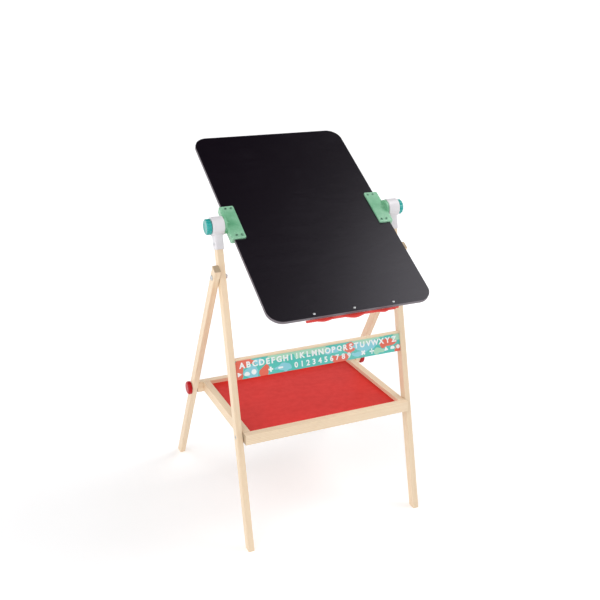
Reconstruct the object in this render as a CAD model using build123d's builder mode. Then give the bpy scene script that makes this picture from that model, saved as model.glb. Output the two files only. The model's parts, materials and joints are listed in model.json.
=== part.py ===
from build123d import *
import math
import os

# A folding child's easel. +X is to the right of a child facing the chalk face, +Y runs
# towards the back, +Z is up, and all sizes are millimetres. "left" is the -X side.

os.makedirs("parts", exist_ok=True)


def sin(degrees):
    return math.sin(math.radians(degrees))


def cos(degrees):
    return math.cos(math.radians(degrees))


def tan(degrees):
    return math.tan(math.radians(degrees))


# ---------------------------------------------------------------- driving dimensions
SIDES = {"left": -1, "right": 1}

# board
BOARD_W = 400.0
BOARD_H = 600.0
BOARD_CORNER_R = 35.0
CORE_T = 7.2  # fibreboard
FACE_T = 0.4  # sheet steel, painted
BOARD_T = CORE_T + 2 * FACE_T
BOARD_TILT = 58.8  # from vertical, top edge to the back

# legs
LEG_W = 15.0  # along X
LEG_D = 22.0
LEG_ROUND = 1.5  # along the edges
LEG_X = 227.5
LEAN = 13.1  # front legs, top to the back
PIVOT_Z = 756.0
HINGE_Z = 643.0
REAR_SPREAD = 376.5  # from the hinge back to the rear foot's centre
REAR_LEG_GAP = 1.0
REAR_LEG_OVER = 28.0  # past the hinge
REAR_RAIL_GAP = 1.5

# cross bar and printed strip, heights measured up the front legs
BAR_LOW = 415.0
BAR_H = 50.5
BAR_T = 9.0
BAR_RECESS = 5.2  # bar face behind the legs' front faces
BAR_ROUND = 0.6
BAR_DOWEL_IN = 12.0  # dowel centre to the bar's top or bottom
STRIP_H = 44.5
STRIP_T = 1.2
STRIP_END_GAP = 0.5

# tray
TRAY_TOP = 285.0
RAIL_T = 18.0
RAIL_H = 26.0
REAR_RAIL_H = 28.0
RAIL_ROUND = 1.2
TRAY_INNER_X = 200.5
WELL_FRONT = 54.7  # behind the front feet
WELL_BACK = 360.0
PANEL_T = 3.0
PANEL_DROP = 10.0
GROOVE = 5.0

# white heads
HEAD_R = 22.0
HEAD_W = 28.0
HEAD_ROUND = 1.5
SLEEVE_WALL = 2.0
SLEEVE_ROUND = 2.5
SLEEVE_DROP = 53.0
HEAD_SCREW_UP = 12.0  # above the sleeve's lower end
LEG_TOP_DROP = 10.0  # leg top below the board's axle

# clamps on the board's side edges
CLAMP_H = 104.0
CLAMP_LAP = 28.0
CLAMP_WALL = 4.0
CLAMP_SIDE = 8.0
CLAMP_CORNER_R = 4.0
CLAMP_ROUND = 1.2
HUB_R = 20.0
HUB_T = 4.4
HUB_ROOT = 1.0  # how far the hub reaches into the clamp's side
CLAMP_SCREW_IN = (7.0, 20.0)  # in from the board's edge
CLAMP_SCREW_UP = 43.0

# knobs
KNOB_GAP = 0.6  # between a knob and what it tightens against
TEAL_R = 18.5
TEAL_T = 12.5
TEAL_RIBS = 14
TEAL_ROUND = 2.5
FLUTE_OUT = 0.62  # flute centres outside the rim, in flute radii
RED_R = 17.5
RED_T = 11.0
RED_DOME = 5.5
RED_INNER_ROUND = 1.5

# marker ledge on the white face
LEDGE_HALF = 110.0
LEDGE_MIDDLE_CREST = 9.0  # its waves, below the board's edge
LEDGE_SIDE_CREST = 6.5
LEDGE_VALLEY = 1.0
LEDGE_PLATE_T = 5.0
LEDGE_PLATE_TOP = 24.0  # above the board's bottom edge
SHELF_DEPTH = 18.0
SHELF_T = 5.0
SHELF_UP = 6.0
LEDGE_SCREW_X = 97.0

# fasteners
RUN = 0.075  # clearance round a turning shaft
SNUG = 0.03  # clearance round a fixed one
PAST = 1.0  # how far a bore is cut past a face
AXLE_R = 4.0
BOLT_R = 3.0
INSERT_R = 4.5
INSERT_L = 12.0
DOWEL_R = 2.5
DOWEL_L = 20.0
DOWEL_IN = 4.5  # dowel centre to the rail's top or bottom
WASHER_R = 7.0
FRICTION_WASHER_R = 19.0
GAP = 0.3
TIP_GAP = 1.0  # a bolt's tip to the end of its insert
AXLE_HEAD_R = 8.0
AXLE_HEAD_T = 4.0
AXLE_HEAD_GAP = 0.1
HINGE_HEAD_R = 6.5
HINGE_HEAD_T = 3.2
HINGE_HEAD_ROUND = 2.4
HINGE_TIP = 1.5  # bolt past its nut
NUT_R = 5.8
NUT_T = 5.0
SCREW_HEAD_R = 5.5  # countersunk tray screws
SCREW_HEAD_L = 3.3
KNOB_NUT_R = 6.0
KNOB_NUT_L = 7.0
KNOB_WALL = 3.5  # plastic past the end of the bolt
HEAD_SCREW_R = 1.5
HEAD_SCREW_L = 12.0
SCREW_R = 1.6
SCREW_CAP_R = 3.0
SCREW_CAP_T = 1.6
SMALL_NUT_R = 3.2
SMALL_NUT_T = 2.4
LEDGE_SCREW_L = 12.0
SLOT_R = 3.5
SLOT_RISE = 32.8  # the rear legs' open slots climb at this angle

# ---------------------------------------------------------------- derived positions
REAR_SPLAY = math.degrees(math.atan2(REAR_SPREAD, HINGE_Z))
FRONT_REACH = PIVOT_Z * tan(LEAN) - (BOARD_H / 2 + LEDGE_MIDDLE_CREST) * sin(BOARD_TILT)
FRONT_REACH += BOARD_T / 2 * cos(BOARD_TILT)
REAR_REACH = HINGE_Z * tan(LEAN) + REAR_SPREAD + LEG_D / 2 / cos(REAR_SPLAY)
FOOT_Y = -(FRONT_REACH + REAR_REACH) / 2  # the front feet, with the origin mid-depth

PIVOT = Vector(0, FOOT_Y + PIVOT_Z * tan(LEAN), PIVOT_Z)
PIVOT_UP = PIVOT_Z / cos(LEAN)  # up the leg
HINGE = Vector(0, FOOT_Y + HINGE_Z * tan(LEAN), HINGE_Z)
TRAY_MID_Z = TRAY_TOP - RAIL_H / 2
TRAY_PIVOT = Vector(0, FOOT_Y + TRAY_MID_Z * tan(LEAN), TRAY_MID_Z)
REAR_DOWN = (HINGE_Z - TRAY_MID_Z) / cos(REAR_SPLAY)  # hinge to stud, along the rear leg
STUD = Vector(0, HINGE.Y + REAR_DOWN * sin(REAR_SPLAY), TRAY_MID_Z)

LEG_IN = LEG_X - LEG_W / 2
LEG_OUT = LEG_X + LEG_W / 2
REAR_X = LEG_OUT + REAR_LEG_GAP + LEG_W / 2
REAR_IN = REAR_X - LEG_W / 2
REAR_OUT = REAR_X + LEG_W / 2
TRAY_OUTER_X = TRAY_INNER_X + RAIL_T
REAR_RAIL_X = REAR_IN - REAR_RAIL_GAP
TRAY_INSERT_X = TRAY_OUTER_X - INSERT_L  # inner ends of the threaded inserts
STUD_INSERT_X = REAR_RAIL_X - INSERT_L
HEAD_IN = LEG_X - HEAD_W / 2
HEAD_OUT = LEG_X + HEAD_W / 2
CLAMP_OUT = BOARD_W / 2 + CLAMP_SIDE
HUB_OUT = CLAMP_OUT + HUB_T
SLEEVE_OUT = LEG_OUT + SLEEVE_WALL
TEAL_IN = HEAD_OUT + KNOB_GAP
RED_IN = REAR_OUT + KNOB_GAP
AXLE_END = TEAL_IN + TEAL_T - KNOB_WALL
STUD_END = RED_IN + RED_T - KNOB_WALL

# working planes: up the front leg, up the rear leg, and out of the board's chalk face
LEG_PLANE = Plane((0, FOOT_Y, 0), x_dir=(1, 0, 0), z_dir=(0, sin(LEAN), cos(LEAN)))
REAR_PLANE = Plane(HINGE, x_dir=(1, 0, 0), z_dir=(0, -sin(REAR_SPLAY), cos(REAR_SPLAY)))
OFF_BOARD = Plane(PIVOT, x_dir=(1, 0, 0), z_dir=(0, -cos(BOARD_TILT), sin(BOARD_TILT)))


def across(x, at=None):
    """A plane facing +X at that x, with its own x along Y and its origin on the line through at."""
    at = at or Vector(0, 0, 0)
    return Plane((x, at.Y, at.Z), x_dir=(0, 1, 0), z_dir=(1, 0, 0))


def rod(low, high, at, radius, mode=Mode.ADD):
    """A round bar along X from low to high, or its hole."""
    middle = (low + high) / 2
    with Locations((middle, at.Y, at.Z)):
        Cylinder(radius, abs(high - low), rotation=(0, 90, 0), mode=mode)


def save(piece, node):
    piece.part.label = node
    export_step(piece.part, f"parts/{node}.step")


# ---------------------------------------------------------------- front frame
def on_leg(up, back=0.0):
    """The point at that height up a front leg and that far behind its centreline."""
    return LEG_PLANE.from_local_coords(Vector(0, back, up))


BAR_BACK = -LEG_D / 2 + BAR_RECESS + BAR_T / 2  # bar centre, behind the leg's centreline
BAR_DOWELS = (on_leg(BAR_LOW + BAR_DOWEL_IN, BAR_BACK), on_leg(BAR_LOW + BAR_H - BAR_DOWEL_IN, BAR_BACK))
HEAD_SCREW = on_leg(PIVOT_UP - SLEEVE_DROP + HEAD_SCREW_UP)


def front_leg(side):
    """Leaning leg with a level foot, holes for the hinge, the tray screw and the dowels."""
    with BuildPart() as leg:
        with BuildSketch(LEG_PLANE.offset(-LEG_D)):
            with Locations((side * LEG_X, 0)):
                RectangleRounded(LEG_W, LEG_D, LEG_ROUND)
        extrude(amount=PIVOT_UP - LEG_TOP_DROP + LEG_D)
        split(bisect_by=Plane.XY, keep=Keep.TOP)
        rod(side * LEG_IN, side * LEG_OUT, HINGE, BOLT_R + SNUG, Mode.SUBTRACT)
        rod(side * LEG_IN, side * LEG_OUT, TRAY_PIVOT, BOLT_R + RUN, Mode.SUBTRACT)
        with BuildSketch(across(side * LEG_OUT, TRAY_PIVOT)):
            Circle(SCREW_HEAD_R + RUN)
        with BuildSketch(across(side * (LEG_OUT - SCREW_HEAD_L), TRAY_PIVOT)):
            Circle(BOLT_R + RUN)
        loft(mode=Mode.SUBTRACT)
        for at in BAR_DOWELS:
            rod(side * LEG_IN, side * (LEG_IN + DOWEL_L / 2), at, DOWEL_R + SNUG, Mode.SUBTRACT)
        rod(side * (LEG_OUT - HEAD_SCREW_L), side * LEG_OUT, HEAD_SCREW, HEAD_SCREW_R, Mode.SUBTRACT)
    return leg


for name, side in SIDES.items():
    front = front_leg(side)
    save(front, f"front_leg_{name}")

with BuildPart() as cross_bar:
    with BuildSketch(LEG_PLANE.offset(BAR_LOW)):
        with Locations((0, BAR_BACK)):
            RectangleRounded(2 * LEG_IN, BAR_T, BAR_ROUND)
    extrude(amount=BAR_H)
    for side in SIDES.values():
        for at in BAR_DOWELS:
            rod(side * (LEG_IN - DOWEL_L / 2), side * LEG_IN, at, DOWEL_R + SNUG, Mode.SUBTRACT)
save(cross_bar, "cross_bar")

with BuildPart() as cross_bar_dowels:
    for side in SIDES.values():
        for at in BAR_DOWELS:
            rod(side * (LEG_IN - DOWEL_L / 2 + GAP), side * (LEG_IN + DOWEL_L / 2 - GAP), at, DOWEL_R)
save(cross_bar_dowels, "cross_bar_dowels")

with BuildPart() as alphabet_strip:
    with BuildSketch(LEG_PLANE.offset(BAR_LOW)):
        with Locations((0, BAR_BACK - BAR_T / 2 - STRIP_T / 2)):
            Rectangle(2 * (LEG_IN - STRIP_END_GAP), STRIP_T)
    extrude(amount=STRIP_H)
save(alphabet_strip, "alphabet_strip")


def post_head(side):
    """Round plastic head with a sleeve that goes down over the leg, and the bore for the board's bolt."""
    with BuildPart() as head:
        rod(side * HEAD_IN, side * HEAD_OUT, PIVOT, HEAD_R)
        rims = head.edges().filter_by(GeomType.CIRCLE)
        fillet(rims, radius=HEAD_ROUND)
        with BuildSketch(LEG_PLANE.offset(PIVOT_UP - SLEEVE_DROP)):
            with Locations((side * LEG_X, 0)):
                RectangleRounded(LEG_W + 2 * SLEEVE_WALL, LEG_D + 2 * SLEEVE_WALL, SLEEVE_ROUND)
        extrude(amount=SLEEVE_DROP)
        with BuildSketch(LEG_PLANE.offset(PIVOT_UP - SLEEVE_DROP)):
            with Locations((side * LEG_X, 0)):
                RectangleRounded(LEG_W, LEG_D, LEG_ROUND)
        extrude(amount=SLEEVE_DROP - LEG_TOP_DROP, mode=Mode.SUBTRACT)
        rod(side * (HEAD_IN - PAST), side * (HEAD_OUT + PAST), PIVOT, AXLE_R + RUN, Mode.SUBTRACT)
        rod(side * LEG_X, side * (HEAD_OUT + PAST), HEAD_SCREW, HEAD_SCREW_R + SNUG, Mode.SUBTRACT)
    return head


for name, side in SIDES.items():
    head = post_head(side)
    save(head, f"post_head_{name}")

with BuildPart() as head_screws:
    for side in SIDES.values():
        rod(side * (LEG_OUT - HEAD_SCREW_L + GAP), side * SLEEVE_OUT, HEAD_SCREW, HEAD_SCREW_R)
        rod(side * SLEEVE_OUT, side * (SLEEVE_OUT + SCREW_CAP_T), HEAD_SCREW, SCREW_CAP_R)
save(head_screws, "head_screws")

# rear-leg hinges: dome-headed bolts from outside, washers between the legs, nuts inside
with BuildPart() as hinge_bolts:
    for side in SIDES.values():
        head_face = REAR_OUT + GAP
        rod(side * (LEG_IN - NUT_T - HINGE_TIP), side * head_face, HINGE, BOLT_R)
        rod(side * head_face, side * (head_face + HINGE_HEAD_T), HINGE, HINGE_HEAD_R)
    ends = hinge_bolts.faces().filter_by(Axis.X).sort_by(Axis.X)
    domes = ShapeList([ends[0], ends[-1]])
    fillet(domes.edges(), radius=HINGE_HEAD_ROUND)
save(hinge_bolts, "hinge_bolts")

with BuildPart() as hinge_nuts:
    for side in SIDES.values():
        with BuildSketch(across(side * LEG_IN, HINGE)):
            RegularPolygon(NUT_R, 6)
            Circle(BOLT_R + SNUG, mode=Mode.SUBTRACT)
        extrude(amount=-side * NUT_T)
save(hinge_nuts, "hinge_nuts")

with BuildPart() as hinge_washers:
    for side in SIDES.values():
        with BuildSketch(across(side * LEG_OUT, HINGE)):
            Circle(WASHER_R)
            Circle(BOLT_R + SNUG, mode=Mode.SUBTRACT)
        extrude(amount=side * (REAR_LEG_GAP - GAP))
save(hinge_washers, "hinge_washers")


# ---------------------------------------------------------------- rear legs
def rear_leg(side):
    """Splayed leg outside the front one. An open slot in its back edge drops over the tray's stud."""
    length = HINGE_Z / cos(REAR_SPLAY)
    with BuildPart() as leg:
        with BuildSketch(REAR_PLANE.offset(-length - LEG_D)):
            with Locations((side * REAR_X, 0)):
                RectangleRounded(LEG_W, LEG_D, LEG_ROUND)
        extrude(amount=length + LEG_D + REAR_LEG_OVER)
        split(bisect_by=Plane.XY, keep=Keep.TOP)
        rod(side * REAR_IN, side * REAR_OUT, HINGE, BOLT_R + RUN, Mode.SUBTRACT)
        slot_angle = REAR_SPLAY + SLOT_RISE
        slot_way = (0, cos(slot_angle), sin(slot_angle))
        with BuildSketch(Plane(STUD, x_dir=slot_way, z_dir=(1, 0, 0))):
            Circle(SLOT_R)
            with Locations((LEG_D / 2, 0)):
                Rectangle(LEG_D, 2 * SLOT_R)
        extrude(amount=REAR_OUT + LEG_W, both=True, mode=Mode.SUBTRACT)
    return leg


for name, side in SIDES.items():
    back_leg = rear_leg(side)
    save(back_leg, f"rear_leg_{name}")

# ---------------------------------------------------------------- tray
FRONT_RAIL_Y = FOOT_Y + WELL_FRONT - RAIL_T / 2
BACK_RAIL_Y = FOOT_Y + WELL_BACK + RAIL_T / 2
WELL_MID_Y = FOOT_Y + (WELL_FRONT + WELL_BACK) / 2
WELL_L = WELL_BACK - WELL_FRONT
PANEL_TOP = TRAY_TOP - PANEL_DROP
PANEL_W = 2 * (TRAY_INNER_X + GROOVE)
PANEL_L = WELL_L + 2 * GROOVE
TRAY_DOWEL_ZS = (TRAY_TOP - RAIL_H + DOWEL_IN, TRAY_TOP - DOWEL_IN)
RAIL_MID_X = TRAY_INNER_X + RAIL_T / 2


def panel_space(mode):
    """The panel's own box, which is also the groove it sits in."""
    with Locations((0, WELL_MID_Y, PANEL_TOP - PANEL_T / 2)):
        Box(PANEL_W, PANEL_L, PANEL_T, mode=mode)


def corner_dowels(radius, slack, mode):
    """Two dowels along Y at each corner of the tray, or their holes."""
    half = DOWEL_L / 2 - slack
    for joint_y in (FOOT_Y + WELL_FRONT, FOOT_Y + WELL_BACK):
        for side in SIDES.values():
            for z in TRAY_DOWEL_ZS:
                with Locations((side * RAIL_MID_X, joint_y, z)):
                    Cylinder(radius, 2 * half, rotation=(90, 0, 0), mode=mode)


def rail(length_x, length_y, height, at):
    """A plain tray rail with eased edges, grooved for the panel and bored for the dowels."""
    with BuildPart() as bar:
        with Locations((at[0], at[1], TRAY_TOP - height / 2)):
            Box(length_x, length_y, height)
        long_axis = Axis.X if length_x > length_y else Axis.Y
        fillet(bar.edges().filter_by(long_axis), radius=RAIL_ROUND)
        panel_space(Mode.SUBTRACT)
        corner_dowels(DOWEL_R + SNUG, 0, Mode.SUBTRACT)
    return bar


front_rail = rail(2 * TRAY_OUTER_X, RAIL_T, RAIL_H, (0, FRONT_RAIL_Y))
save(front_rail, "tray_rail_front")

with BuildPart() as rear_rail:
    add(rail(2 * REAR_RAIL_X, RAIL_T, REAR_RAIL_H, (0, BACK_RAIL_Y)).part)
    for side in SIDES.values():
        rod(side * STUD_INSERT_X, side * REAR_RAIL_X, STUD, INSERT_R + SNUG, Mode.SUBTRACT)
save(rear_rail, "tray_rail_rear")

for name, side in SIDES.items():
    with BuildPart() as side_rail:
        add(rail(RAIL_T, WELL_L, RAIL_H, (side * RAIL_MID_X, WELL_MID_Y)).part)
        rod(side * TRAY_INSERT_X, side * TRAY_OUTER_X, TRAY_PIVOT, INSERT_R + SNUG, Mode.SUBTRACT)
    save(side_rail, f"tray_rail_{name}")

with BuildPart() as tray_panel:
    panel_space(Mode.ADD)
save(tray_panel, "tray_panel")

with BuildPart() as tray_dowels:
    corner_dowels(DOWEL_R, GAP, Mode.ADD)
save(tray_dowels, "tray_dowels")

with BuildPart() as tray_inserts:
    for side in SIDES.values():
        for face_x, at in ((TRAY_OUTER_X, TRAY_PIVOT), (REAR_RAIL_X, STUD)):
            with BuildSketch(across(side * face_x, at)):
                Circle(INSERT_R)
                Circle(BOLT_R + SNUG, mode=Mode.SUBTRACT)
            extrude(amount=-side * (INSERT_L - GAP))
save(tray_inserts, "tray_inserts")

with BuildPart() as tray_washers:
    for side in SIDES.values():
        with BuildSketch(across(side * TRAY_OUTER_X, TRAY_PIVOT)):
            Circle(WASHER_R)
            Circle(BOLT_R + SNUG, mode=Mode.SUBTRACT)
        extrude(amount=side * (LEG_IN - TRAY_OUTER_X - GAP))
save(tray_washers, "tray_washers")

with BuildPart() as tray_bolts:
    for side in SIDES.values():
        head_face = LEG_OUT - GAP
        rod(side * (TRAY_INSERT_X + TIP_GAP), side * (head_face - SCREW_HEAD_L), TRAY_PIVOT, BOLT_R)
        with BuildSketch(across(side * head_face, TRAY_PIVOT)):
            Circle(SCREW_HEAD_R - GAP)
        with BuildSketch(across(side * (head_face - SCREW_HEAD_L), TRAY_PIVOT)):
            Circle(BOLT_R - GAP / 2)
        loft()
save(tray_bolts, "tray_bolts")

with BuildPart() as tray_studs:
    for side in SIDES.values():
        rod(side * (STUD_INSERT_X + TIP_GAP), side * STUD_END, STUD, BOLT_R)
save(tray_studs, "tray_studs")


# ---------------------------------------------------------------- knobs
def knob_insert(side, start, at, bore):
    """Brass nut moulded into a knob's inner face."""
    with BuildSketch(across(side * start, at)) as ring:
        Circle(KNOB_NUT_R)
        Circle(bore + SNUG, mode=Mode.SUBTRACT)
    return extrude(ring.sketch, amount=side * KNOB_NUT_L, mode=Mode.PRIVATE)


def red_knob(side):
    """Smooth round knob with a domed outer face."""
    with BuildPart() as knob:
        rod(side * RED_IN, side * (RED_IN + RED_T), STUD, RED_R)
        ends = knob.faces().filter_by(Axis.X).sort_by(Axis.X)
        outer = ends[-1] if side > 0 else ends[0]
        inner = ends[0] if side > 0 else ends[-1]
        fillet(outer.edges(), radius=RED_DOME)
        fillet(inner.edges(), radius=RED_INNER_ROUND)
        rod(side * RED_IN, side * (RED_IN + KNOB_NUT_L), STUD, KNOB_NUT_R + SNUG, Mode.SUBTRACT)
        rod(side * RED_IN, side * (STUD_END + GAP), STUD, BOLT_R + SNUG, Mode.SUBTRACT)
    return knob


def teal_knob(side):
    """Ribbed knob: a round body with grip flutes cut round its rim."""
    flute_r = math.pi * TEAL_R / TEAL_RIBS / 2
    with BuildPart() as knob:
        rod(side * TEAL_IN, side * (TEAL_IN + TEAL_T), PIVOT, TEAL_R)
        fillet(knob.edges().filter_by(GeomType.CIRCLE), radius=TEAL_ROUND)
        with BuildSketch(across(side * TEAL_IN, PIVOT)):
            with PolarLocations(TEAL_R + flute_r * FLUTE_OUT, TEAL_RIBS):
                Circle(flute_r)
        extrude(amount=side * TEAL_T, mode=Mode.SUBTRACT)
        rod(side * TEAL_IN, side * (TEAL_IN + KNOB_NUT_L), PIVOT, KNOB_NUT_R + SNUG, Mode.SUBTRACT)
        rod(side * TEAL_IN, side * (AXLE_END + GAP), PIVOT, AXLE_R + SNUG, Mode.SUBTRACT)
    return knob


for name, side in SIDES.items():
    red = red_knob(side)
    save(red, f"red_knob_{name}")
    teal = teal_knob(side)
    save(teal, f"teal_knob_{name}")
    with BuildPart() as red_insert:
        add(knob_insert(side, RED_IN, STUD, BOLT_R))
    save(red_insert, f"red_knob_insert_{name}")
    with BuildPart() as teal_insert:
        add(knob_insert(side, TEAL_IN, PIVOT, AXLE_R))
    save(teal_insert, f"teal_knob_insert_{name}")


# ---------------------------------------------------------------- board
LEDGE_SCREW_Y = -BOARD_H / 2 + SHELF_UP + SHELF_T / 2
CLAMP_SPOTS = [
    (side * (BOARD_W / 2 - inset), up)
    for side in SIDES.values()
    for inset in CLAMP_SCREW_IN
    for up in (-CLAMP_SCREW_UP, CLAMP_SCREW_UP)
]
LEDGE_SPOTS = [(x, LEDGE_SCREW_Y) for x in (-LEDGE_SCREW_X, 0, LEDGE_SCREW_X)]


def board_layer(low, thickness):
    """One layer of the board, from that height off its mid-plane, bored for all its screws."""
    with BuildPart() as layer:
        with BuildSketch(OFF_BOARD.offset(low)):
            RectangleRounded(BOARD_W, BOARD_H, BOARD_CORNER_R)
            with Locations(*CLAMP_SPOTS, *LEDGE_SPOTS):
                Circle(SCREW_R + SNUG, mode=Mode.SUBTRACT)
        extrude(amount=thickness)
    return layer


core = board_layer(-CORE_T / 2, CORE_T)
save(core, "board_core")
chalk = board_layer(CORE_T / 2, FACE_T)
save(chalk, "chalk_face")
white = board_layer(-CORE_T / 2 - FACE_T, FACE_T)
save(white, "white_face")

CLAMP_W = CLAMP_LAP + CLAMP_SIDE
CLAMP_MID = CLAMP_OUT - CLAMP_W / 2
CLAMP_T = BOARD_T + 2 * CLAMP_WALL


def board_clamp(side):
    """Channel over the board's side edge, with a round hub that bears on the head."""
    own_spots = [spot for spot in CLAMP_SPOTS if spot[0] * side > 0]
    with BuildPart() as clamp:
        with BuildSketch(OFF_BOARD.offset(-CLAMP_T / 2)):
            with Locations((side * CLAMP_MID, 0)):
                RectangleRounded(CLAMP_W, CLAMP_H, CLAMP_CORNER_R)
        extrude(amount=CLAMP_T)
        faces = clamp.faces().filter_by(OFF_BOARD)
        fillet(faces.edges(), radius=CLAMP_ROUND)
        rod(side * (CLAMP_OUT - HUB_ROOT), side * HUB_OUT, PIVOT, HUB_R)
        with BuildSketch(OFF_BOARD.offset(-BOARD_T / 2)):
            Rectangle(BOARD_W, BOARD_H)
        extrude(amount=BOARD_T, mode=Mode.SUBTRACT)
        with BuildSketch(OFF_BOARD.offset(-CLAMP_T)):
            with Locations(*own_spots):
                Circle(SCREW_R + SNUG)
        extrude(amount=2 * CLAMP_T, mode=Mode.SUBTRACT)
        rod(side * BOARD_W / 2, side * (HUB_OUT + PAST), PIVOT, AXLE_R + SNUG, Mode.SUBTRACT)
        rod(side * BOARD_W / 2, side * (BOARD_W / 2 + AXLE_HEAD_T), PIVOT, AXLE_HEAD_R, Mode.SUBTRACT)
    return clamp


for name, side in SIDES.items():
    clamp = board_clamp(side)
    save(clamp, f"board_clamp_{name}")
    with BuildPart() as pivot_bolt:
        rod(side * (BOARD_W / 2 + AXLE_HEAD_T), side * AXLE_END, PIVOT, AXLE_R)
        head_start = BOARD_W / 2 + AXLE_HEAD_GAP
        rod(side * head_start, side * (BOARD_W / 2 + AXLE_HEAD_T), PIVOT, AXLE_HEAD_R - SNUG)
    save(pivot_bolt, f"pivot_bolt_{name}")

with BuildPart() as friction_washers:
    for side in SIDES.values():
        with BuildSketch(across(side * HUB_OUT, PIVOT)):
            Circle(FRICTION_WASHER_R)
            Circle(AXLE_R + SNUG, mode=Mode.SUBTRACT)
        extrude(amount=side * (HEAD_IN - HUB_OUT - GAP))
save(friction_washers, "friction_washers")

with BuildPart() as clamp_screws:
    with BuildSketch(OFF_BOARD.offset(-CLAMP_T / 2 - SMALL_NUT_T)):
        with Locations(*CLAMP_SPOTS):
            Circle(SCREW_R)
    extrude(amount=CLAMP_T + SMALL_NUT_T)
    with BuildSketch(OFF_BOARD.offset(CLAMP_T / 2)):
        with Locations(*CLAMP_SPOTS):
            Circle(SCREW_CAP_R)
    extrude(amount=SCREW_CAP_T)
save(clamp_screws, "clamp_screws")

with BuildPart() as clamp_nuts:
    with BuildSketch(OFF_BOARD.offset(-CLAMP_T / 2)):
        with Locations(*CLAMP_SPOTS):
            RegularPolygon(SMALL_NUT_R, 6)
            Circle(SCREW_R + SNUG, mode=Mode.SUBTRACT)
    extrude(amount=-SMALL_NUT_T)
save(clamp_nuts, "clamp_nuts")

with BuildPart() as ledge_screws:
    with BuildSketch(OFF_BOARD.offset(-BOARD_T / 2 - LEDGE_SCREW_L)):
        with Locations(*LEDGE_SPOTS):
            Circle(SCREW_R)
    extrude(amount=BOARD_T + LEDGE_SCREW_L)
    with BuildSketch(OFF_BOARD.offset(BOARD_T / 2)):
        with Locations(*LEDGE_SPOTS):
            Circle(SCREW_CAP_R)
    extrude(amount=SCREW_CAP_T)
save(ledge_screws, "ledge_screws")

LEDGE_HIGH = -BOARD_H / 2 + LEDGE_PLATE_TOP
HALF_WAVE_DROPS = (LEDGE_VALLEY, LEDGE_SIDE_CREST, LEDGE_VALLEY, LEDGE_MIDDLE_CREST)
HALF_WAVE_DROPS += HALF_WAVE_DROPS[-2::-1]
HALF_WAVE = 2 * LEDGE_HALF / (len(HALF_WAVE_DROPS) - 1)
WAVE_POINTS = [
    (-LEDGE_HALF + step * HALF_WAVE, -BOARD_H / 2 - drop)
    for step, drop in enumerate(HALF_WAVE_DROPS)
]
with BuildPart() as marker_ledge:
    with BuildSketch(OFF_BOARD.offset(-BOARD_T / 2)):
        with BuildLine():
            Spline(*WAVE_POINTS, tangents=[(1, 0), (1, 0)])
            Polyline(
                WAVE_POINTS[-1],
                (LEDGE_HALF, LEDGE_HIGH),
                (-LEDGE_HALF, LEDGE_HIGH),
                WAVE_POINTS[0],
            )
        make_face()
    extrude(amount=-LEDGE_PLATE_T)
    with BuildSketch(OFF_BOARD.offset(-BOARD_T / 2)):
        with Locations((0, LEDGE_SCREW_Y)):
            Rectangle(2 * LEDGE_HALF, SHELF_T)
    extrude(amount=-SHELF_DEPTH)
    with BuildSketch(OFF_BOARD.offset(-BOARD_T / 2 - LEDGE_SCREW_L - GAP)):
        with Locations(*LEDGE_SPOTS):
            Circle(SCREW_R + SNUG)
    extrude(amount=LEDGE_SCREW_L + GAP, mode=Mode.SUBTRACT)
save(marker_ledge, "marker_ledge")
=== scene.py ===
"""Looks for a folding child's easel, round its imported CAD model. Metres, in the model's own frame."""
import json
import math
import random

import bmesh
import bpy
from mathutils import Matrix, Vector


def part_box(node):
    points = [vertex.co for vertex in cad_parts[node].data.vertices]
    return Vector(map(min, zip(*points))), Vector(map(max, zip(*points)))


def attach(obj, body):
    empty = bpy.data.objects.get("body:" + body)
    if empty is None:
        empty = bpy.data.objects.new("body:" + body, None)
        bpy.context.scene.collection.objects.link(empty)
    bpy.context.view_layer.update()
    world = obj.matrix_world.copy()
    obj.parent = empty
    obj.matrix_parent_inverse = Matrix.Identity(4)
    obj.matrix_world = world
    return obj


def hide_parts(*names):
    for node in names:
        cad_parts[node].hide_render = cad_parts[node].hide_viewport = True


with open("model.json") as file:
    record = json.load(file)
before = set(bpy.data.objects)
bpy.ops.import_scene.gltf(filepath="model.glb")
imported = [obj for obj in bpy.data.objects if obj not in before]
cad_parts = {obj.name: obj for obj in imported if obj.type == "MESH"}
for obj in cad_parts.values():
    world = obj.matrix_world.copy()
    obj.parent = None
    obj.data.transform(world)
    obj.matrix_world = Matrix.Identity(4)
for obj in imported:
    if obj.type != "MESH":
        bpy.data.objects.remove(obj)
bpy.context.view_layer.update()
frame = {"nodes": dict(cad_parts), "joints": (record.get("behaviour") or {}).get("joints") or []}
NODES = frame["nodes"]
SIDES = {"left": -1, "right": 1}
MM = 0.001


# ---------------------------------------------------------------- where things are
def joint_at(name):
    """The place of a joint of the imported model."""
    return next(Vector(j["pos_m"]) for j in frame["joints"] if j["name"] == name)


def middle(node):
    low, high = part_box(node)
    return (low + high) / 2


PIVOT = joint_at("board_flip")
HINGE = joint_at("rear_leg_left_fold")
TRAY_PIVOT = joint_at("tray_fold")
STUD = joint_at("red_knob_left_turn")
LEAN = math.atan2(PIVOT.y - TRAY_PIVOT.y, PIVOT.z - TRAY_PIVOT.z)
SPLAY = math.atan2(STUD.y - HINGE.y, HINGE.z - STUD.z)
BOARD_TILT = math.radians(58.8)

X = Vector((1, 0, 0))
Y = Vector((0, 1, 0))
Z = Vector((0, 0, 1))
UP_LEG = Vector((0, math.sin(LEAN), math.cos(LEAN)))
OFF_LEG = Vector((0, -math.cos(LEAN), math.sin(LEAN)))
UP_REAR = Vector((0, -math.sin(SPLAY), math.cos(SPLAY)))
UP_BOARD = Vector((0, math.sin(BOARD_TILT), math.cos(BOARD_TILT)))
OFF_BOARD = Vector((0, -math.cos(BOARD_TILT), math.sin(BOARD_TILT)))

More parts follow.
